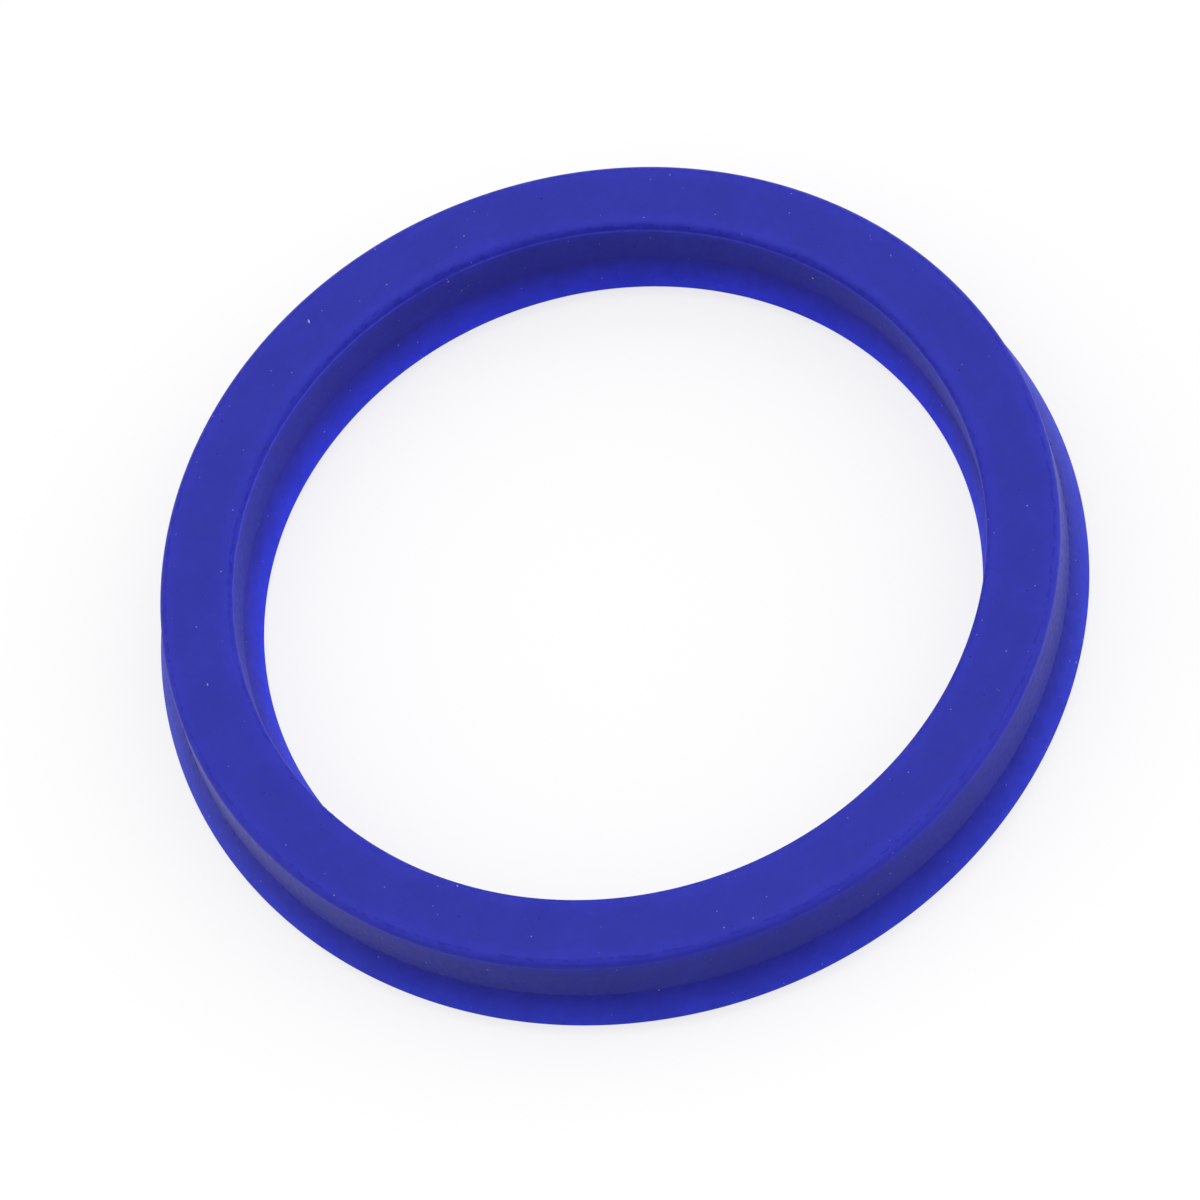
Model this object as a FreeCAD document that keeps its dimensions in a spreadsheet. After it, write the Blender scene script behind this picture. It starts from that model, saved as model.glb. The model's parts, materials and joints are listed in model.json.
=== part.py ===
import FreeCAD, Part
import math
import os

import Sketcher

# U-cup seal: one moulded ring of polyurethane that closes the gap between a shaft and its
# housing. Its section is a solid heel with two flared lips, parted by a groove. The ring lies
# as it comes to rest, with the lips down and the flat heel up.
# Millimetres. Z is the ring's axis, and Z = 0 is the plane of the lips' tips.

SIZES = {
    # The shaft, and the radial gap beside it that the seal fills.
    "shaft_diameter": 40.0,
    "radial_gap": 4.0,
    "seal_height": 6.0,
    # The heel stands clear of the shaft and of the housing by this much, measured radially.
    "heel_clearance": 0.05,
    "heel_round": 0.4,
    # From the tips up to the crease where the lips leave the heel.
    "lip_length": 2.75,
    # How far each free lip reaches past the wall that it seals on.
    "inner_lip_squeeze": 0.73,
    "outer_lip_squeeze": 0.92,
    # The bevel between each sealing edge and its tip, and the flat tip itself.
    "bevel_height": 0.92,
    "bevel_width": 0.7,
    "tip_width": 0.25,
    # The groove's root is a wide arc between two tight ones. It runs past the crease into the
    # heel by the overrun, and the tight arcs' centres lie off its middle by the offset.
    "groove_overrun": 0.34,
    "groove_root_radius": 1.0,
    "groove_corner_radius": 0.5,
    "groove_corner_offset": 0.18,
}

# Radii and heights of the section, each worked out from the sizes above.
FORMULAS = {
    "heel_inner_radius": "sizes.shaft_diameter / 2 + sizes.heel_clearance",
    "heel_outer_radius": "sizes.shaft_diameter / 2 + sizes.radial_gap - sizes.heel_clearance",
    "inner_edge_radius": "sizes.shaft_diameter / 2 - sizes.inner_lip_squeeze",
    "outer_edge_radius": "sizes.shaft_diameter / 2 + sizes.radial_gap + sizes.outer_lip_squeeze",
    "top_height": "sizes.seal_height",
    "crease_height": "sizes.lip_length",
    "edge_height": "sizes.bevel_height",
    "tip_height": "0",
    "root_radius": "sizes.groove_root_radius",
    "corner_radius": "sizes.groove_corner_radius",
    "corner_offset": "sizes.groove_corner_offset",
    "root_centre_radius": "sizes.shaft_diameter / 2 + sizes.radial_gap / 2",
    "root_centre_height": "sizes.lip_length + sizes.groove_overrun - sizes.groove_root_radius",
}
FORMULAS["inner_tip_radius"] = FORMULAS["inner_edge_radius"] + " + sizes.bevel_width"
FORMULAS["outer_tip_radius"] = FORMULAS["outer_edge_radius"] + " - sizes.bevel_width"
FORMULAS["inner_mouth_radius"] = FORMULAS["inner_tip_radius"] + " + sizes.tip_width"
FORMULAS["outer_mouth_radius"] = FORMULAS["outer_tip_radius"] + " - sizes.tip_width"

# Which point of a piece of a sketch is meant, and the sketch's own origin and x axis.
START = 1
END = 2
CENTRE = 3
AXIS_FOOT = (-1, 1)
TIP_PLANE = -1

# Two circles that lie closer than this are one edge.
SAME_EDGE = 0.001


def make_sizes_sheet(doc):
    """One row for each driving size: its name and its value."""
    sheet = doc.addObject("Spreadsheet::Sheet", "sizes")
    for row, (alias, value) in enumerate(SIZES.items(), start=1):
        sheet.set(f"A{row}", alias)
        sheet.set(f"B{row}", str(value))
        sheet.setAlias(f"B{row}", alias)
    doc.recompute()


def value_of(doc, formula_name):
    return float(doc.getObject("sizes").evalExpression(FORMULAS[formula_name]))


def section_point(doc, radius, height):
    """A point of the section, from the names of its radius and its height."""
    return FreeCAD.Vector(value_of(doc, radius), value_of(doc, height), 0)


def new_section_sketch(body, name):
    """A sketch in the plane through the axis: its x is the radius, its y the height."""
    sketch = body.newObject("Sketcher::SketchObject", name)
    planes = {plane.Role: plane for plane in body.Origin.OriginFeatures}
    sketch.AttachmentSupport = (planes["XZ_Plane"], [""])
    sketch.MapMode = "FlatFace"
    return sketch


def bind(sketch, kind, where, formula_name):
    """One dimension of a sketch, which the sizes drive."""
    value = value_of(sketch.Document, formula_name)
    index = sketch.addConstraint(Sketcher.Constraint(kind, *where, value))
    sketch.renameConstraint(index, formula_name)
    sketch.setExpression(f"Constraints.{formula_name}", FORMULAS[formula_name])


def turn(body, kind, name, sketch):
    """A sketch turned all the way round the ring's axis."""
    feature = body.newObject(kind, name)
    feature.Profile = sketch
    feature.ReferenceAxis = (sketch, ["V_Axis"])
    feature.Angle = 360.0
    sketch.Document.recompute()


def add_ring(doc, body):
    """The ring before its groove: heel, flares and bevels."""
    corners = [
        section_point(doc, "heel_inner_radius", "top_height"),
        section_point(doc, "heel_inner_radius", "crease_height"),
        section_point(doc, "inner_edge_radius", "edge_height"),
        section_point(doc, "inner_tip_radius", "tip_height"),
        section_point(doc, "outer_tip_radius", "tip_height"),
        section_point(doc, "outer_edge_radius", "edge_height"),
        section_point(doc, "heel_outer_radius", "crease_height"),
        section_point(doc, "heel_outer_radius", "top_height"),
    ]
    sketch = new_section_sketch(body, "ring_section")
    lines = [
        sketch.addGeometry(Part.LineSegment(corner, next_corner))
        for corner, next_corner in zip(corners, corners[1:] + corners[:1])
    ]
    inner_wall, inner_flare, inner_bevel, tips, outer_bevel, outer_flare, outer_wall, heel = lines
    for line, next_line in zip(lines, lines[1:] + lines[:1]):
        sketch.addConstraint(Sketcher.Constraint("Coincident", line, END, next_line, START))
    sketch.addConstraint(Sketcher.Constraint("Vertical", inner_wall))
    sketch.addConstraint(Sketcher.Constraint("Vertical", outer_wall))
    sketch.addConstraint(Sketcher.Constraint("Horizontal", heel))
    sketch.addConstraint(Sketcher.Constraint("PointOnObject", tips, START, TIP_PLANE))
    sketch.addConstraint(Sketcher.Constraint("PointOnObject", tips, END, TIP_PLANE))
    # Both creases lie at one height, and so do both sealing edges.
    sketch.addConstraint(Sketcher.Constraint("Horizontal", inner_flare, START, outer_flare, END))
    sketch.addConstraint(Sketcher.Constraint("Horizontal", inner_flare, END, outer_flare, START))
    bind(sketch, "DistanceX", (*AXIS_FOOT, inner_wall, START), "heel_inner_radius")
    bind(sketch, "DistanceX", (*AXIS_FOOT, outer_wall, END), "heel_outer_radius")
    bind(sketch, "DistanceX", (*AXIS_FOOT, inner_flare, END), "inner_edge_radius")
    bind(sketch, "DistanceX", (*AXIS_FOOT, outer_flare, START), "outer_edge_radius")
    bind(sketch, "DistanceX", (*AXIS_FOOT, inner_bevel, END), "inner_tip_radius")
    bind(sketch, "DistanceX", (*AXIS_FOOT, outer_bevel, START), "outer_tip_radius")
    bind(sketch, "DistanceY", (*AXIS_FOOT, outer_wall, END), "top_height")
    bind(sketch, "DistanceY", (*AXIS_FOOT, outer_flare, END), "crease_height")
    bind(sketch, "DistanceY", (*AXIS_FOOT, outer_flare, START), "edge_height")
    turn(body, "PartDesign::Revolution", "ring", sketch)


def add_groove(doc, body):
    """The groove between the lips: a root of three arcs, and two walls that open to the tips."""
    mouth_inside = section_point(doc, "inner_mouth_radius", "tip_height")
    mouth_outside = section_point(doc, "outer_mouth_radius", "tip_height")
    centre = section_point(doc, "root_centre_radius", "root_centre_height")
    root_radius = value_of(doc, "root_radius")
    corner_radius = value_of(doc, "corner_radius")
    turn_to_joint = math.asin(value_of(doc, "corner_offset") / (root_radius - corner_radius))
    across = FreeCAD.Vector(1, 0, 0)
    up = FreeCAD.Vector(0, 1, 0)
    to_outer_joint = across * math.sin(turn_to_joint) + up * math.cos(turn_to_joint)
    to_inner_joint = up * math.cos(turn_to_joint) - across * math.sin(turn_to_joint)
    outer_joint = centre + to_outer_joint * root_radius
    inner_joint = centre + to_inner_joint * root_radius
    outer_centre = centre + to_outer_joint * (root_radius - corner_radius)
    inner_centre = centre + to_inner_joint * (root_radius - corner_radius)
    outer_half_way = (across + to_outer_joint).normalize()
    inner_half_way = (to_inner_joint - across).normalize()
    outer_end = outer_centre + across * corner_radius
    inner_end = inner_centre - across * corner_radius

    sketch = new_section_sketch(body, "groove_section")
    pieces = [
        Part.LineSegment(mouth_inside, mouth_outside),
        Part.LineSegment(mouth_outside, outer_end),
        Part.Arc(outer_end, outer_centre + outer_half_way * corner_radius, outer_joint),
        Part.Arc(outer_joint, centre + up * root_radius, inner_joint),
        Part.Arc(inner_joint, inner_centre + inner_half_way * corner_radius, inner_end),
        Part.LineSegment(inner_end, mouth_inside),
    ]
    mouth, outer_wall, outer_corner, root, inner_corner, inner_wall = [
        sketch.addGeometry(piece) for piece in pieces
    ]
    sketch.addConstraint(Sketcher.Constraint("Coincident", mouth, END, outer_wall, START))
    sketch.addConstraint(Sketcher.Constraint("Tangent", outer_wall, END, outer_corner, START))
    sketch.addConstraint(Sketcher.Constraint("Tangent", outer_corner, END, root, START))
    sketch.addConstraint(Sketcher.Constraint("Tangent", root, END, inner_corner, START))
    sketch.addConstraint(Sketcher.Constraint("Tangent", inner_corner, END, inner_wall, START))
    sketch.addConstraint(Sketcher.Constraint("Coincident", inner_wall, END, mouth, START))
    sketch.addConstraint(Sketcher.Constraint("PointOnObject", mouth, START, TIP_PLANE))
    sketch.addConstraint(Sketcher.Constraint("PointOnObject", mouth, END, TIP_PLANE))
    # The two tight arcs mirror each other.
    sketch.addConstraint(Sketcher.Constraint("Equal", inner_corner, outer_corner))
    sketch.addConstraint(Sketcher.Constraint("Horizontal", inner_corner, CENTRE, outer_corner, CENTRE))
    bind(sketch, "Radius", (root,), "root_radius")
    bind(sketch, "Radius", (outer_corner,), "corner_radius")
    bind(sketch, "DistanceX", (root, CENTRE, outer_corner, CENTRE), "corner_offset")
    bind(sketch, "DistanceX", (*AXIS_FOOT, root, CENTRE), "root_centre_radius")
    bind(sketch, "DistanceY", (*AXIS_FOOT, root, CENTRE), "root_centre_height")
    bind(sketch, "DistanceX", (*AXIS_FOOT, mouth, START), "inner_mouth_radius")
    bind(sketch, "DistanceX", (*AXIS_FOOT, mouth, END), "outer_mouth_radius")

    solid_ring_volume = body.Shape.Volume
    turn(body, "PartDesign::Groove", "lip_groove", sketch)
    if body.Shape.Volume >= solid_ring_volume:
        raise RuntimeError("the groove has cut nothing")


def circular_edge(shape, radius, height):
    """Name of the shape's edge that runs round the axis at the given radius and height."""
    for number, edge in enumerate(shape.Edges, start=1):
        if not isinstance(edge.Curve, Part.Circle):
            continue
        off_radius = abs(edge.Curve.Radius - radius)
        off_height = abs(edge.Curve.Center.z - height)
        if max(off_radius, off_height) < SAME_EDGE:
            return f"Edge{number}"
    raise RuntimeError(f"no edge at radius {radius} and height {height}")


def round_heel(doc, body):
    """Rounds both edges of the heel face."""
    base = body.Tip
    top = value_of(doc, "top_height")
    inner_edge = circular_edge(base.Shape, value_of(doc, "heel_inner_radius"), top)
    outer_edge = circular_edge(base.Shape, value_of(doc, "heel_outer_radius"), top)
    rounds = body.newObject("PartDesign::Fillet", "heel_rounds")
    rounds.Base = (base, [inner_edge, outer_edge])
    rounds.setExpression("Radius", "sizes.heel_round")
    doc.recompute()


def make_seal(doc):
    body = doc.addObject("PartDesign::Body", "u_cup_seal")
    body.Label = "u_cup_seal"
    body.Placement = FreeCAD.Placement()
    add_ring(doc, body)
    add_groove(doc, body)
    round_heel(doc, body)
    return body


def check_document(doc, body):
    for item in doc.Objects:
        if {"Invalid", "Error"} & set(item.State):
            raise RuntimeError(f"{item.Label} has failed: {item.State}")
    shape = body.Shape
    if shape.isNull() or not shape.isValid() or len(shape.Solids) != 1:
        raise RuntimeError(f"{body.Label} isn't one sound solid")


def main():
    doc = FreeCAD.newDocument("u_cup_seal")
    make_sizes_sheet(doc)
    seal = make_seal(doc)
    doc.recompute()
    check_document(doc, seal)
    os.makedirs("parts", exist_ok=True)
    seal.Shape.exportStep(f"parts/{seal.Label}.step")
    box = seal.Shape.BoundBox
    print(f"{seal.Label}: {seal.Shape.Volume:.2f} mm3, z {box.ZMin:.3f} to {box.ZMax:.3f}")


main()
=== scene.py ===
import json
import math

import bpy
import numpy as np
from mathutils import Matrix, Vector


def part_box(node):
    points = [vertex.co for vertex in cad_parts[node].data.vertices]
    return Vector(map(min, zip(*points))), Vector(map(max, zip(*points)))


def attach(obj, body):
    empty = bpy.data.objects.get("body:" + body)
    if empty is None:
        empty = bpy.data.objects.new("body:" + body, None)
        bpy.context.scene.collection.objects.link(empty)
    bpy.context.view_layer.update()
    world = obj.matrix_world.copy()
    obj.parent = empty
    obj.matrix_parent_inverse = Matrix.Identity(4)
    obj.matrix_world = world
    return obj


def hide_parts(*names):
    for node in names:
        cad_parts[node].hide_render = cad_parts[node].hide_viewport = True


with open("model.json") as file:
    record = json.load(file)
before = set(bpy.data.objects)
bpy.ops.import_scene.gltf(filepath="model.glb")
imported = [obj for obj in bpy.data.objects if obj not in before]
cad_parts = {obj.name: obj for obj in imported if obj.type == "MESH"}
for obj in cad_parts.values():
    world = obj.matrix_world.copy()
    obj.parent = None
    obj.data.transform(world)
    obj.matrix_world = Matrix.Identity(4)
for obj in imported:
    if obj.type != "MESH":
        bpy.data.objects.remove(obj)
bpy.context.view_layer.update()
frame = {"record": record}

# Metres in the scene. The seal's own sizes are written in millimetres.
MM = 0.001
NODE = "u_cup_seal"
MOUNTS = {mount["name"]: mount["dims"] for mount in frame["record"]["mounts"]}
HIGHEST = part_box(NODE)[1]

# Section of the ring: radius from the axis, and height above the lips' tips.
HEEL_INNER_RADIUS = MOUNTS["heel_bore"]["r_mm"]
HEEL_OUTER_RADIUS = MOUNTS["heel_outside"]["r_mm"]
MIDDLE_RADIUS = (HEEL_INNER_RADIUS + HEEL_OUTER_RADIUS) / 2
SEAL_HEIGHT = HIGHEST[2] / MM
OUTER_EDGE_RADIUS = HIGHEST[0] / MM
INNER_EDGE_RADIUS = 19.27
HEEL_ROUND = 0.4
LIP_LENGTH = 2.75
# The outer wall leans: it stands back under the face, and out at its crease, which lies lower.
OUTER_WALL_SETBACK = 0.04
OUTER_WALL_RADIUS = HEEL_OUTER_RADIUS - OUTER_WALL_SETBACK
OUTER_CREASE_RADIUS = HEEL_OUTER_RADIUS + 0.08
OUTER_LIP_LENGTH = 2.68
INNER_CREASE_ROUND = 0.8
OUTER_CREASE_ROUND = 0.2
SEALING_EDGE_ROUND = 0.08
BEVEL_HEIGHT = 0.92
BEVEL_WIDTH = 0.7
TIP_WIDTH = 0.25
TIP_ROUND = 0.05
# The groove's root, as wide as two reaches before its corners are rounded.
GROOVE_TOP = 3.09
GROOVE_ROUND = 0.7
GROOVE_ROOT_REACH = 0.477

# The mesh: steps round the axis, the turn of each step round a corner, and the sides' lengths.
STEPS_ROUND = 1120
STEP_TURN = math.radians(18)
STEPS_PER_SMALL_CORNER = 2
SMALL_CORNER = 0.1
LONGEST_SIDE = 2.0
SHORTEST_SIDE = 0.06

# The seed of the uneven lines, and the fewest and the most waves that each has round the ring.
SEED = 40486
PARTING_WAVES = (3, 420)
TRIM_WAVES = (20, 420)
WANDER_WAVES = (5, 250)
TEETH_WAVES = (60, 420)
# A fine ridge stands on each wall of the heel, where the mould's halves met: a line with beads.
PARTING_DEPTH = 0.48
PARTING_SPREAD = 0.06
INNER_PARTING_HEIGHT = 0.038
OUTER_PARTING_HEIGHT = 0.010
PARTING_LINE_SHARE = 0.6
PARTING_BEAD_SHARE = 0.9
# Trimming left the edge between the heel face and its rounding a little uneven.
TRIM_HEIGHT = 0.012
TRIM_SPREAD = 0.07
TRIM_WANDER = 0.05
TRIM_WANDER_SPREAD = 0.15
# The outer crease runs in fine teeth.
TEETH_HEIGHT = 0.12
TEETH_SPREAD = 0.2

# The photograph's frame and how the camera stood in it, for an image 1200 pixels wide.
IMAGE_WIDTH_PX = 1200
FOCAL_LENGTH_PX = 8000
SENSOR_WIDTH_MM = 36.0
CAMERA_ELEVATION = math.radians(59.81)
CAMERA_ROLL = math.radians(-19.07)
CAMERA_DISTANCE = 419.3 * MM
# Where the middle of the heel face lies beside the middle of the picture.
HEEL_RIGHT_OF_MIDDLE = 0.29 * MM
HEEL_BELOW_MIDDLE = -2.41 * MM

# Colours of the polyurethane, with painted light and shade among them. The thin lips let light
# through, and this is painted as a brighter glow.
FACE_BLUE = (0.031, 0.037, 0.372, 1)
# Painted glow: the edges of the heel face are painted brighter.
FACE_EDGE_GLOW_BLUE = (0.033, 0.039, 0.410, 1)
INNER_CORNER_BLUE = (0.023, 0.026, 0.42, 1)
OUTER_CORNER_BLUE = (0.028, 0.032, 0.44, 1)
# Painted light: the tops of the walls are painted lighter, and the walls darker down towards the
# crease.
INNER_WALL_TOP_LIT_BLUE = (0.034, 0.038, 0.48, 1)
OUTER_WALL_TOP_LIT_BLUE = (0.0205, 0.0245, 0.43, 1)
INNER_WALL_BLUE = (0.030, 0.034, 0.37, 1)
OUTER_WALL_BLUE = (0.020, 0.024, 0.33, 1)
# Painted shade: the creases are painted darker.
INNER_CREASE_SHADE_BLUE = (0.031, 0.032, 0.355, 1)
OUTER_CREASE_SHADE_BLUE = (0.0195, 0.0215, 0.31, 1)
# Painted glow: the lips are painted brighter, as if light came through them.
INNER_LIP_GLOW_BLUE = (0.041, 0.056, 0.785, 1)
OUTER_LIP_GLOW_BLUE = (0.035, 0.051, 0.60, 1)
# The parting line: partly the flash's own paler colour, partly a painted highlight.
PARTING_FLASH_HIGHLIGHT_BLUE = (0.060, 0.066, 0.62, 1)
# Painted shade of the trim scars.
SCAR_SHADE_BLUE = (0.013, 0.014, 0.27, 1)
PIT_BLUE = (0.006, 0.006, 0.12, 1)
DUST = (0.6, 0.62, 0.85, 1)
WHITE = (1, 1, 1, 1)

# The range of a noise texture's values that most of its points fall in.
NOISE_RANGE = (0.3, 0.7)
# Distances from the middle of the heel face between which the painted glow of its edges comes in.
FACE_EDGE_START = 0.8
FACE_EDGE_FULL = 1.55
# Depths under the heel face at which its colour begins and is full.
FACE_START_DEPTH = 0.06
FACE_FULL_DEPTH = 0.004
# Where the corner's colour ends under the face, and how far down the wall the painted light of its
# top fades out.
CORNER_DEPTH = 0.1
WALL_TOP_FADE = 1.2
# How far under the crease its painted shade is full, and how far up each wall it fades out.
CREASE_DROP = 0.1
INNER_CREASE_FADE = 0.7
OUTER_CREASE_FADE = 0.1
# The ragged edge of the crease's painted shade: how far it strays, and how near the crease.
RAGGED_SCALE = 2500
RAGGED_NOISE = (0.35, 0.65)
RAGGED_REACH = 0.12
RAGGED_BAND = 0.5
# How far the row of painted scar shade lies from the middle of the heel face on each side.
INNER_SCARS_ASIDE = 1.845
OUTER_SCARS_ASIDE = 1.63
# The scars' painted shade: how wide their row is, how far it wavers, and how dark it is.
SCAR_SCALE = 2400
SCAR_NOISE = (0.4, 0.6)
SCAR_REACH = 0.09
SCAR_WAVER_SCALE = 700
SCAR_WAVER = 0.06
SCAR_STRENGTH = 0.42
# The paler streaks of the parting line, partly the flash's own paler colour and partly a painted
# highlight, and how strong they are on each wall, least and most.
STREAK_SCALE = 2200
STREAK_NOISE = (0.3, 0.55)
STREAK_REACH = 0.12
INNER_STREAKS = (0.5, 1.0)
OUTER_STREAKS = (0.0, 0.06)
# Clouds and mottles: the shares of the colour's brightness at their darkest and their palest.
CLOUD_SCALE = 350
CLOUD_SHARES = (0.96, 1.04)
MOTTLE_SCALE = 1500
LIP_MOTTLE_SHARES = (0.94, 1.06)
HEEL_MOTTLE_SHARES = (0.97, 1.03)
MOTTLE_FADE = 0.3
# Specks: their cells in a metre, the largest speck's size in a cell, and how strong they are.
PITS = (1300, 0.11, 0.7)
GRAINS_OF_DUST = (1900, 0.11, 0.35)
FIBRES = (650, 0.055, 0.5)
FIBRE_STRETCH = (1.0, 0.4, 1.0)
# Chance raised to this power makes small specks the common ones. A core of each is full.
SPECK_POWER = 2.0
SPECK_CORE = 0.5

# Roughness where the fine grain is smoothest and roughest. The outer side shines a little more.
INNER_ROUGHNESS = (0.53, 0.61)
OUTER_ROUGHNESS = (0.36, 0.44)
GRAIN_SCALE = 3500
GRAIN_HEIGHT = 0.003
SPECULAR_LEVEL = 0.08
# How much light goes in under the surface, and how far it gets in red, green and blue.
SUBSURFACE_WEIGHT = 0.6
SUBSURFACE_RADIUS = (0.08, 0.1, 1.0)
SUBSURFACE_SCALE = 0.5

# The floor as the camera sees it, as the light that it throws back, and its share of plain white.
FLOOR_REACH = 2.0
FLOOR_WHITE = (0.95, 0.95, 0.95, 1)
FLOOR_DIM = (0.42, 0.42, 0.42, 1)
BACKDROP_SHARE = 0.75

# Strength of the light from the horizon, from overhead, and from the softboxes at two sides.
SKY_HORIZON = 0.05
SKY_OVERHEAD = 1.25
SKY_SIDES = 1.72
# The right softbox is stronger by this, and the left one weaker.
SKY_RIGHT = 0.28
SIDE_TURN = math.radians(-12)
SIDE_DIRECTION = (math.cos(SIDE_TURN), math.sin(SIDE_TURN), 0)
# The studio is brighter by this share at the far side, and as much darker at the near side.
SKY_LEAN = (0, 0.2, 0)


def unit(vector):
    return vector / np.linalg.norm(vector)


def rounded_outline(corners):
    """Closed outline through (radius, height, rounding) corners, each rounded by an arc."""
    points = []
    for index, (x, y, rounding) in enumerate(corners):
        corner = np.array([x, y])
        before = unit(np.array(corners[index - 1][:2]) - corner)
        after = unit(np.array(corners[(index + 1) % len(corners)][:2]) - corner)
        half_angle = math.acos(before @ after) / 2
        reach = rounding / math.tan(half_angle)
        centre = corner + unit(before + after) * rounding / math.sin(half_angle)
        start = corner + before * reach - centre
        end = corner + after * reach - centre
        turn = math.pi - 2 * half_angle
        steps = STEPS_PER_SMALL_CORNER if rounding < SMALL_CORNER else math.ceil(turn / STEP_TURN)
        for step in range(steps + 1):
            share = step / steps
            blend = math.sin((1 - share) * turn) * start + math.sin(share * turn) * end
            points.append(centre + blend / math.sin(turn))
    return np.array(points)


def distance_to(points, places):
    """How far each point lies from the nearest of some places."""
    return np.min([np.linalg.norm(points - place, axis=1) for place in places], axis=0)


def refined(points, places):
    """Halves the sides of a closed outline until they are short, and shortest near the places."""
    while True:
        following = np.roll(points, -1, axis=0)
        middles = (points + following) / 2
        allowed = np.clip(distance_to(middles, places), SHORTEST_SIDE, LONGEST_SIDE)
        long_ones = np.flatnonzero(np.linalg.norm(following - points, axis=1) > allowed)
        if len(long_ones) == 0:
            return points
        points = np.insert(points, long_ones + 1, middles[long_ones], axis=0)


def section_corners():
    inner_tip = INNER_EDGE_RADIUS + BEVEL_WIDTH
    outer_tip = OUTER_EDGE_RADIUS - BEVEL_WIDTH
    return [
        (HEEL_INNER_RADIUS, SEAL_HEIGHT, HEEL_ROUND),
        (HEEL_INNER_RADIUS, LIP_LENGTH, INNER_CREASE_ROUND),
        (INNER_EDGE_RADIUS, BEVEL_HEIGHT, SEALING_EDGE_ROUND),
        (inner_tip, 0.0, TIP_ROUND),
        (inner_tip + TIP_WIDTH, 0.0, TIP_ROUND),
        (MIDDLE_RADIUS - GROOVE_ROOT_REACH, GROOVE_TOP, GROOVE_ROUND),
        (MIDDLE_RADIUS + GROOVE_ROOT_REACH, GROOVE_TOP, GROOVE_ROUND),
        (outer_tip - TIP_WIDTH, 0.0, TIP_ROUND),
        (outer_tip, 0.0, TIP_ROUND),
        (OUTER_EDGE_RADIUS, BEVEL_HEIGHT, SEALING_EDGE_ROUND),
        (OUTER_CREASE_RADIUS, OUTER_LIP_LENGTH, OUTER_CREASE_ROUND),
        (OUTER_WALL_RADIUS, SEAL_HEIGHT, HEEL_ROUND),
    ]


def fine_places():
    """Places in the section where the mesh is finest: face edges, parting lines, outer crease."""
    face_ends = [HEEL_INNER_RADIUS + HEEL_ROUND, HEEL_OUTER_RADIUS - HEEL_ROUND]
    places = [np.array([radius, SEAL_HEIGHT]) for radius in face_ends]
    walls = [HEEL_INNER_RADIUS, OUTER_WALL_RADIUS]
    places += [np.array([radius, SEAL_HEIGHT - PARTING_DEPTH]) for radius in walls]
    return places + [np.array([OUTER_CREASE_RADIUS, OUTER_LIP_LENGTH])]


def unevenness(angles, fewest_and_most, draw):
    """A wavy line that closes on itself round the ring, between -1 and 1."""
    fewest, most = fewest_and_most
    line = np.zeros_like(angles)
    for waves in range(fewest, most + 1):
        line += draw.normal() * np.cos(waves * angles + draw.uniform(0, 2 * math.pi))
    return line / np.abs(line).max()


def nearness(section, place, spread):
    """One for section points at a place, falling off to nought round it."""
    return np.exp(-((distance_to(section, [np.array(place)]) / spread) ** 2))


def section_normals(section):
    along = np.roll(section, -1, axis=0) - np.roll(section, 1, axis=0)
    normals = np.column_stack([along[:, 1], -along[:, 0]])
    return normals / np.linalg.norm(normals, axis=1)[:, None]


def raised_lines(section, angles):
    """Shifts of every section point at every angle: parting ridges, trimmed edges and teeth."""
    draw = np.random.default_rng(SEED)
    normals = section_normals(section)
    shifts = np.zeros((len(angles), len(section), 2))
    inner_wall = (HEEL_INNER_RADIUS, HEEL_ROUND, INNER_PARTING_HEIGHT)
    outer_wall = (OUTER_WALL_RADIUS, -HEEL_ROUND, OUTER_PARTING_HEIGHT)
    for wall_radius, to_face, parting_height in [inner_wall, outer_wall]:
        ridge = nearness(section, (wall_radius, SEAL_HEIGHT - PARTING_DEPTH), PARTING_SPREAD)
        beads = PARTING_BEAD_SHARE * unevenness(angles, PARTING_WAVES, draw)
        height = np.maximum(parting_height * (PARTING_LINE_SHARE + beads), 0)
        shifts += height[:, None, None] * (ridge[:, None] * normals)[None]
        trimmed = (wall_radius + to_face, SEAL_HEIGHT)
        edge = nearness(section, trimmed, TRIM_SPREAD)
        height = TRIM_HEIGHT * unevenness(angles, TRIM_WAVES, draw)
        shifts += height[:, None, None] * (edge[:, None] * normals)[None]
        edge = nearness(section, trimmed, TRIM_WANDER_SPREAD)
        wander = TRIM_WANDER * unevenness(angles, WANDER_WAVES, draw)
        shifts[:, :, 0] += wander[:, None] * edge[None]
    crease = nearness(section, (OUTER_CREASE_RADIUS, OUTER_LIP_LENGTH), TEETH_SPREAD)
    teeth = TEETH_HEIGHT * unevenness(angles, TEETH_WAVES, draw)
    shifts[:, :, 1] += teeth[:, None] * crease[None]
    return shifts


def seal_grid():
    """The seal's points in metres: every point of the section at every step round the axis."""
    section = refined(rounded_outline(section_corners()), fine_places())
    angles = np.linspace(0, 2 * math.pi, STEPS_ROUND, endpoint=False)
    places = section[None] + raised_lines(section, angles)
    radius = places[:, :, 0]
    # Nothing stands higher than the heel face.
    height = np.minimum(places[:, :, 1], SEAL_HEIGHT)
    corners = [radius * np.cos(angles)[:, None], radius * np.sin(angles)[:, None], height]
    return np.stack(corners, axis=2) * MM


def grid_faces(steps, count):
    """Four-sided faces over a grid of points that closes on itself both ways."""
    faces = []
    for step in range(steps):
        here = step * count
        there = (step + 1) % steps * count
        for index in range(count):
            following = (index + 1) % count
            faces.append((here + index, here + following, there + following, there + index))
    return faces


def normals_by_area(grid):
    """Normals at the points of a closed grid, weighted by area so that long flat sides stay flat."""
    beside = np.roll(grid, -1, axis=1)
    one_way = np.roll(beside, -1, axis=0) - grid
    other_way = np.roll(grid, -1, axis=0) - beside
    normals = np.cross(one_way, other_way)
    normals += np.roll(normals, 1, axis=0)
    normals += np.roll(normals, 1, axis=1)
    return normals / np.linalg.norm(normals, axis=2)[:, :, None]


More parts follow.
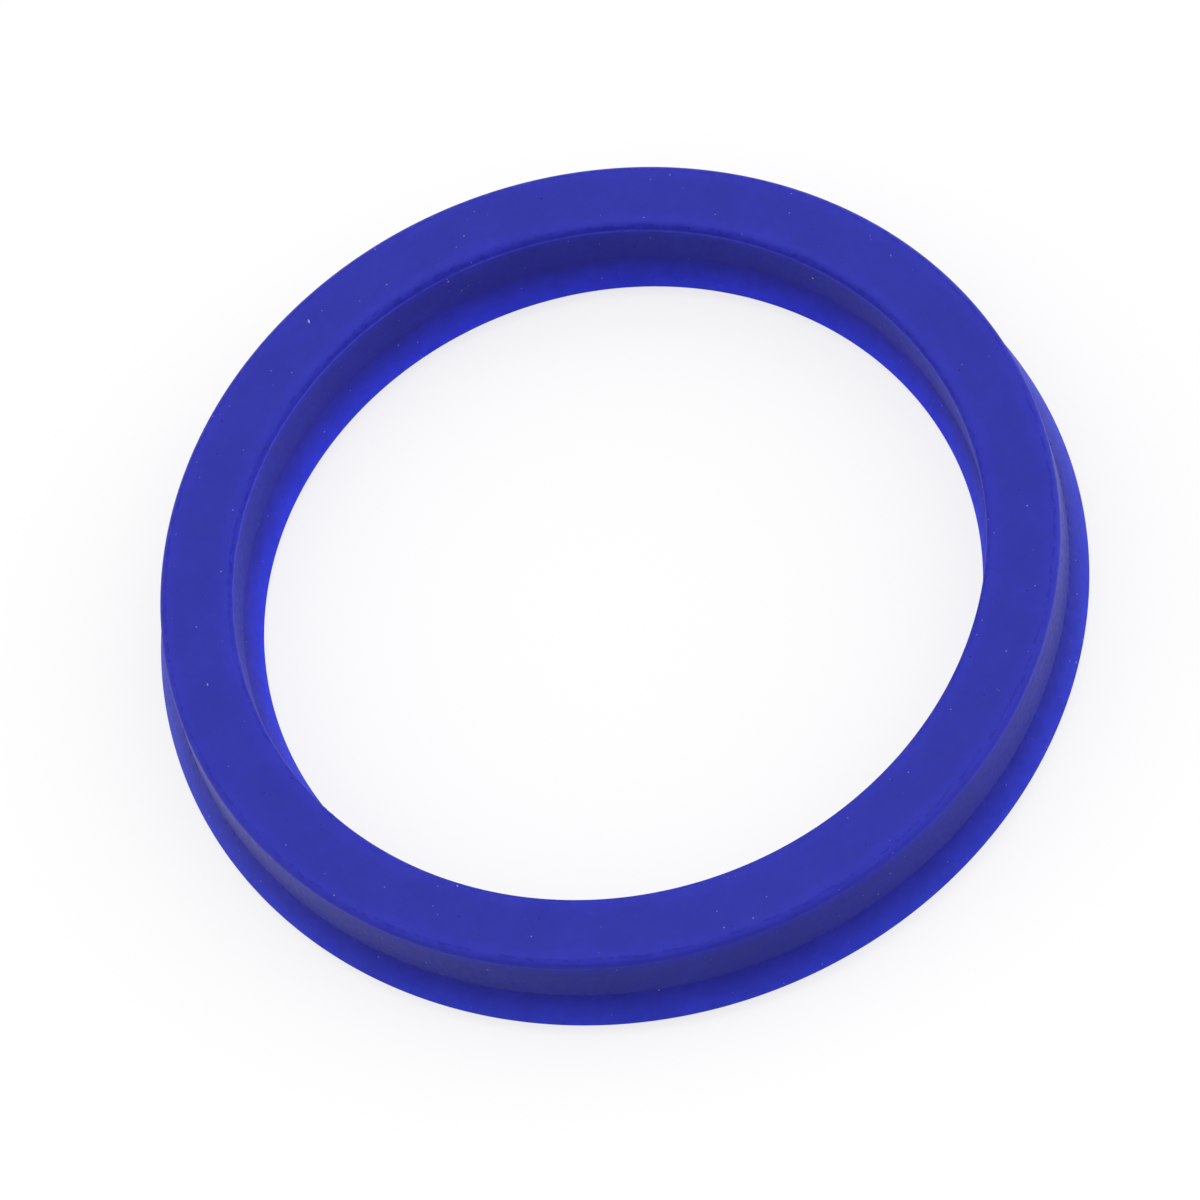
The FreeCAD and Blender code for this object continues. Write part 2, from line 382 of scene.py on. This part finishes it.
def make_seal():
    grid = seal_grid()
    mesh = bpy.data.meshes.new("moulded_seal")
    mesh.from_pydata(grid.reshape(-1, 3).tolist(), [], grid_faces(*grid.shape[:2]))
    mesh.update()
    mesh.shade_smooth()
    mesh.normals_split_custom_set_from_vertices(normals_by_area(grid).reshape(-1, 3).tolist())
    seal = bpy.data.objects.new("moulded_seal", mesh)
    bpy.context.collection.objects.link(seal)
    seal.data.materials.append(polyurethane())
    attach(seal, "root")
    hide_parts(NODE)


def add_node(tree, kind, inputs, output=0, **settings):
    """Adds a shader node with its inputs set or linked, and gives back one of its outputs."""
    node = tree.nodes.new(kind)
    for name, value in settings.items():
        setattr(node, name, value)
    for name, value in inputs.items():
        if isinstance(value, bpy.types.NodeSocket):
            tree.links.new(value, node.inputs[name])
        else:
            node.inputs[name].default_value = value
    return node.outputs[output]


def maths(tree, operation, *values):
    return add_node(tree, "ShaderNodeMath", dict(enumerate(values)), operation=operation)


def vector_maths(tree, operation, *values, output="Vector"):
    """Adds a vector operation, whose output is called Value where it gives a number."""
    inputs = dict(enumerate(values))
    return add_node(tree, "ShaderNodeVectorMath", inputs, output=output, operation=operation)


def noise(tree, place, scale, detail=2):
    inputs = {"Vector": place, "Scale": scale, "Detail": detail}
    return add_node(tree, "ShaderNodeTexNoise", inputs)


def blend_range(tree, value, low, high, at_low=0.0, at_high=1.0):
    """Runs smoothly from one number to another as a value goes from low to high."""
    inputs = {"Value": value, "From Min": low, "From Max": high, "To Min": at_low, "To Max": at_high}
    return add_node(tree, "ShaderNodeMapRange", inputs, interpolation_type="SMOOTHSTEP")


def across_ring(tree, radius, at_inner, at_outer):
    """Runs from one number at the inner sealing edge to another at the heel's outer wall."""
    inner_radius = INNER_EDGE_RADIUS * MM
    outer_radius = HEEL_OUTER_RADIUS * MM
    return blend_range(tree, radius, inner_radius, outer_radius, at_inner, at_outer)


def near_value(tree, value, middle, reach):
    """One where a value is close to the middle of a range, falling to nought at its reach."""
    away = maths(tree, "ABSOLUTE", maths(tree, "SUBTRACT", value, middle))
    return blend_range(tree, away, reach / 2, reach, 1.0, 0.0)


def mix_colours(tree, share, first, second):
    """Blends two colours, which are inputs 6 and 7 of the Mix node, into its output 2."""
    inputs = {0: share, 6: first, 7: second}
    return add_node(tree, "ShaderNodeMix", inputs, output=2, data_type="RGBA")


def colour_by_height(tree, height, stops):
    """A colour ramp whose stops are heights in millimetres."""
    share = maths(tree, "DIVIDE", height, SEAL_HEIGHT * MM)
    output = add_node(tree, "ShaderNodeValToRGB", {0: share})
    ramp = output.node.color_ramp
    for index, (stop, colour) in enumerate(stops):
        element = ramp.elements[index] if index < 2 else ramp.elements.new(1)
        element.position = stop / SEAL_HEIGHT
        element.color = colour
    return output


def side_stops(lip_blue, crease_blue, crease_fade, wall_blue, wall_top_blue, corner_blue):
    """Colours from the lips' tips up to the edge of the heel face, with painted light and shade: a
    glow on the lips, shade at the crease, lighter tops of the walls; the first two are the ends.
    """
    return [
        (0.0, lip_blue),
        (SEAL_HEIGHT, FACE_EDGE_GLOW_BLUE),
        (BEVEL_HEIGHT, lip_blue),
        (LIP_LENGTH - CREASE_DROP, crease_blue),
        (LIP_LENGTH + crease_fade, wall_blue),
        (SEAL_HEIGHT - WALL_TOP_FADE, wall_blue),
        (SEAL_HEIGHT - PARTING_DEPTH, wall_top_blue),
        (SEAL_HEIGHT - HEEL_ROUND, corner_blue),
        (SEAL_HEIGHT - CORNER_DEPTH, corner_blue),
    ]


def specks(tree, place, how_many, largest, strength):
    """A mask of scattered specks of many sizes, most of them small."""
    cells = add_node(tree, "ShaderNodeTexVoronoi", {"Vector": place, "Scale": how_many}).node
    chance = add_node(tree, "ShaderNodeSeparateColor", {0: cells.outputs["Color"]})
    size = maths(tree, "MULTIPLY", maths(tree, "POWER", chance, SPECK_POWER), largest)
    core = maths(tree, "MULTIPLY", size, SPECK_CORE)
    return blend_range(tree, cells.outputs["Distance"], core, size, strength, 0.0)


class Spot:
    """Where a point of the seal's surface lies, as sockets of its material."""

    def __init__(self, tree):
        self.place = add_node(tree, "ShaderNodeTexCoord", {}, output="Object")
        self.height = add_node(tree, "ShaderNodeSeparateXYZ", {0: self.place}, output="Z")
        level = vector_maths(tree, "MULTIPLY", self.place, (1, 1, 0))
        self.radius = vector_maths(tree, "LENGTH", level, output="Value")
        from_middle = maths(tree, "SUBTRACT", self.radius, MIDDLE_RADIUS * MM)
        self.aside = maths(tree, "ABSOLUTE", from_middle)


def sides_colour(tree, spot):
    """Lips and walls of the ring's two sides, with a painted glow on the lips and painted shade at
    the crease, whose edge is ragged.
    """
    ragged = noise(tree, spot.place, RAGGED_SCALE)
    ragged = blend_range(tree, ragged, *RAGGED_NOISE, -RAGGED_REACH * MM, RAGGED_REACH * MM)
    at_crease = near_value(tree, spot.height, LIP_LENGTH * MM, RAGGED_BAND * MM)
    height = maths(tree, "MULTIPLY_ADD", ragged, at_crease, spot.height)
    inner = side_stops(
        INNER_LIP_GLOW_BLUE,
        INNER_CREASE_SHADE_BLUE,
        INNER_CREASE_FADE,
        INNER_WALL_BLUE,
        INNER_WALL_TOP_LIT_BLUE,
        INNER_CORNER_BLUE,
    )
    outer = side_stops(
        OUTER_LIP_GLOW_BLUE,
        OUTER_CREASE_SHADE_BLUE,
        OUTER_CREASE_FADE,
        OUTER_WALL_BLUE,
        OUTER_WALL_TOP_LIT_BLUE,
        OUTER_CORNER_BLUE,
    )
    inner = colour_by_height(tree, height, inner)
    outer = colour_by_height(tree, height, outer)
    is_outer = maths(tree, "GREATER_THAN", spot.radius, MIDDLE_RADIUS * MM)
    return mix_colours(tree, is_outer, inner, outer)


def moulded_colour(tree, spot):
    """The sides and the heel face, which is painted a little brighter near its edges, a painted
    glow.
    """
    near_edge = blend_range(tree, spot.aside, FACE_EDGE_START * MM, FACE_EDGE_FULL * MM)
    face = mix_colours(tree, near_edge, FACE_BLUE, FACE_EDGE_GLOW_BLUE)
    start = (SEAL_HEIGHT - FACE_START_DEPTH) * MM
    full = (SEAL_HEIGHT - FACE_FULL_DEPTH) * MM
    on_face = blend_range(tree, spot.height, start, full)
    return mix_colours(tree, on_face, sides_colour(tree, spot), face)


def with_scar_shade(tree, spot, colour):
    """Painted shade: short dark scars in a wavering row where the edge of the face was trimmed."""
    scars = noise(tree, spot.place, SCAR_SCALE)
    scars = blend_range(tree, scars, *SCAR_NOISE, 0.0, SCAR_STRENGTH)
    waver = noise(tree, spot.place, SCAR_WAVER_SCALE)
    waver = blend_range(tree, waver, *NOISE_RANGE, -SCAR_WAVER * MM, SCAR_WAVER * MM)
    wavering = maths(tree, "ADD", spot.aside, waver)
    row = across_ring(tree, spot.radius, INNER_SCARS_ASIDE * MM, OUTER_SCARS_ASIDE * MM)
    in_row = near_value(tree, wavering, row, SCAR_REACH * MM)
    on_heel = blend_range(tree, spot.height, LIP_LENGTH * MM, (SEAL_HEIGHT - HEEL_ROUND) * MM)
    scars = maths(tree, "MULTIPLY", maths(tree, "MULTIPLY", in_row, scars), on_heel)
    return mix_colours(tree, scars, colour, SCAR_SHADE_BLUE)


def with_parting_line(tree, spot, colour):
    """The thin flash of the parting line is paler, partly its own colour and partly a painted
    highlight on the ridge, and comes and goes.
    """
    streaks = noise(tree, spot.place, STREAK_SCALE)
    least, most = zip(INNER_STREAKS, OUTER_STREAKS)
    least = across_ring(tree, spot.radius, *least)
    most = across_ring(tree, spot.radius, *most)
    streaks = blend_range(tree, streaks, *STREAK_NOISE, least, most)
    line_height = (SEAL_HEIGHT - PARTING_DEPTH) * MM
    on_line = near_value(tree, spot.height, line_height, STREAK_REACH * MM)
    return mix_colours(tree, maths(tree, "MULTIPLY", on_line, streaks), colour, PARTING_FLASH_HIGHLIGHT_BLUE)


def with_clouds(tree, spot, colour):
    """Slightly cloudy, in patches a few millimetres wide and in small mottles, most on the lips."""
    clouds = noise(tree, spot.place, CLOUD_SCALE)
    clouds = blend_range(tree, clouds, *NOISE_RANGE, *CLOUD_SHARES)
    crease = ((LIP_LENGTH - MOTTLE_FADE) * MM, LIP_LENGTH * MM)
    darkest, palest = zip(LIP_MOTTLE_SHARES, HEEL_MOTTLE_SHARES)
    darkest = blend_range(tree, spot.height, *crease, *darkest)
    palest = blend_range(tree, spot.height, *crease, *palest)
    mottles = noise(tree, spot.place, MOTTLE_SCALE, detail=3)
    mottles = blend_range(tree, mottles, *NOISE_RANGE, darkest, palest)
    brightness = maths(tree, "MULTIPLY", clouds, mottles)
    return add_node(tree, "ShaderNodeHueSaturation", {"Value": brightness, "Color": colour})


def with_specks(tree, spot, colour):
    """Dark pits, pale grains of dust, and a few longer fibres."""
    colour = mix_colours(tree, specks(tree, spot.place, *PITS), colour, PIT_BLUE)
    colour = mix_colours(tree, specks(tree, spot.place, *GRAINS_OF_DUST), colour, DUST)
    stretched = vector_maths(tree, "MULTIPLY", spot.place, FIBRE_STRETCH)
    return mix_colours(tree, specks(tree, stretched, *FIBRES), colour, DUST)


def set_grain(tree, spot, shader):
    """Fine grain in the surface's gloss and relief."""
    grain = noise(tree, spot.place, GRAIN_SCALE, detail=3)
    smoothest, roughest = zip(INNER_ROUGHNESS, OUTER_ROUGHNESS)
    smoothest = across_ring(tree, spot.radius, *smoothest)
    roughest = across_ring(tree, spot.radius, *roughest)
    roughness = blend_range(tree, grain, *NOISE_RANGE, smoothest, roughest)
    tree.links.new(roughness, shader.inputs["Roughness"])
    relief = add_node(tree, "ShaderNodeBump", {"Height": grain, "Distance": GRAIN_HEIGHT * MM})
    tree.links.new(relief, shader.inputs["Normal"])


def polyurethane():
    material = bpy.data.materials.new("blue_polyurethane")
    material.use_nodes = True
    tree = material.node_tree
    shader = tree.nodes["Principled BSDF"]
    spot = Spot(tree)
    colour = moulded_colour(tree, spot)
    for finish in [with_scar_shade, with_parting_line, with_clouds, with_specks]:
        colour = finish(tree, spot, colour)
    tree.links.new(colour, shader.inputs["Base Color"])
    set_grain(tree, spot, shader)
    shader.inputs["Specular IOR Level"].default_value = SPECULAR_LEVEL
    shader.inputs["Subsurface Weight"].default_value = SUBSURFACE_WEIGHT
    shader.inputs["Subsurface Radius"].default_value = SUBSURFACE_RADIUS
    shader.inputs["Subsurface Scale"].default_value = SUBSURFACE_SCALE * MM
    return material


def make_camera():
    """Looks along +Y and down, rolled as the photograph is."""
    forward = Vector((0, math.cos(CAMERA_ELEVATION), -math.sin(CAMERA_ELEVATION)))
    level_right = Vector((1, 0, 0))
    level_up = Vector((0, math.sin(CAMERA_ELEVATION), math.cos(CAMERA_ELEVATION)))
    right = math.cos(CAMERA_ROLL) * level_right + math.sin(CAMERA_ROLL) * level_up
    up = math.cos(CAMERA_ROLL) * level_up - math.sin(CAMERA_ROLL) * level_right
    heel_middle = Vector((0, 0, HIGHEST[2]))
    place = heel_middle - right * HEEL_RIGHT_OF_MIDDLE + up * HEEL_BELOW_MIDDLE
    place -= forward * CAMERA_DISTANCE
    data = bpy.data.cameras.new("camera")
    data.sensor_width = SENSOR_WIDTH_MM
    data.lens = FOCAL_LENGTH_PX / IMAGE_WIDTH_PX * SENSOR_WIDTH_MM
    camera = bpy.data.objects.new("camera", data)
    bpy.context.collection.objects.link(camera)
    turned = Matrix((right, up, -forward)).transposed()
    camera.matrix_world = Matrix.Translation(place) @ turned.to_4x4()
    bpy.context.scene.camera = camera


def seen_directly(tree):
    """One for what the camera sees, also in reflections and through glass, and nought for light."""
    rays = tree.nodes.new("ShaderNodeLightPath").outputs
    seen = maths(tree, "MAXIMUM", rays["Is Camera Ray"], rays["Is Glossy Ray"])
    return maths(tree, "MAXIMUM", seen, rays["Is Transmission Ray"])


def make_floor():
    """White where it is seen, and a plain grey for the light that it throws back."""
    reach = FLOOR_REACH
    corners = [(-reach, -reach, 0), (reach, -reach, 0), (reach, reach, 0), (-reach, reach, 0)]
    mesh = bpy.data.meshes.new("floor")
    mesh.from_pydata(corners, [], [(0, 1, 2, 3)])
    floor = bpy.data.objects.new("floor", mesh)
    bpy.context.collection.objects.link(floor)
    material = bpy.data.materials.new("white_floor")
    material.use_nodes = True
    tree = material.node_tree
    tree.nodes.remove(tree.nodes["Principled BSDF"])
    seen = seen_directly(tree)
    colour = mix_colours(tree, seen, FLOOR_DIM, FLOOR_WHITE)
    lit = add_node(tree, "ShaderNodeBsdfDiffuse", {"Color": colour})
    white = add_node(tree, "ShaderNodeEmission", {"Color": WHITE, "Strength": 1.0})
    share = maths(tree, "MULTIPLY", seen, BACKDROP_SHARE)
    surface = add_node(tree, "ShaderNodeMixShader", {0: share, 1: lit, 2: white})
    tree.links.new(surface, tree.nodes["Material Output"].inputs["Surface"])
    floor.data.materials.append(material)


def make_world():
    """Soft studio light: bright overhead, and a glow from softboxes at the left and the right."""
    world = bpy.data.worlds.new("studio")
    bpy.context.scene.world = world
    world.use_nodes = True
    tree = world.node_tree
    direction = add_node(tree, "ShaderNodeTexCoord", {}, output="Generated")
    up = add_node(tree, "ShaderNodeSeparateXYZ", {0: direction}, output="Z")
    up_squared = maths(tree, "MULTIPLY", up, up)
    overhead = maths(tree, "MULTIPLY_ADD", up_squared, SKY_OVERHEAD, SKY_HORIZON)
    sideways = vector_maths(tree, "DOT_PRODUCT", direction, SIDE_DIRECTION, output="Value")
    glow = maths(tree, "MULTIPLY_ADD", sideways, SKY_SIDES, SKY_RIGHT)
    strength = maths(tree, "MULTIPLY_ADD", sideways, glow, overhead)
    lean = vector_maths(tree, "DOT_PRODUCT", direction, SKY_LEAN, output="Value")
    strength = maths(tree, "MULTIPLY_ADD", strength, lean, strength)
    # Behind everything the studio is plain white. The Mix node's numbers are inputs 2 and 3.
    inputs = {0: seen_directly(tree), 2: strength, 3: 1.0}
    strength = add_node(tree, "ShaderNodeMix", inputs)
    tree.links.new(strength, tree.nodes["Background"].inputs["Strength"])
    tree.nodes["Background"].inputs["Color"].default_value = WHITE


bpy.context.scene.view_settings.view_transform = "Standard"
make_camera()
make_world()
make_floor()
make_seal()
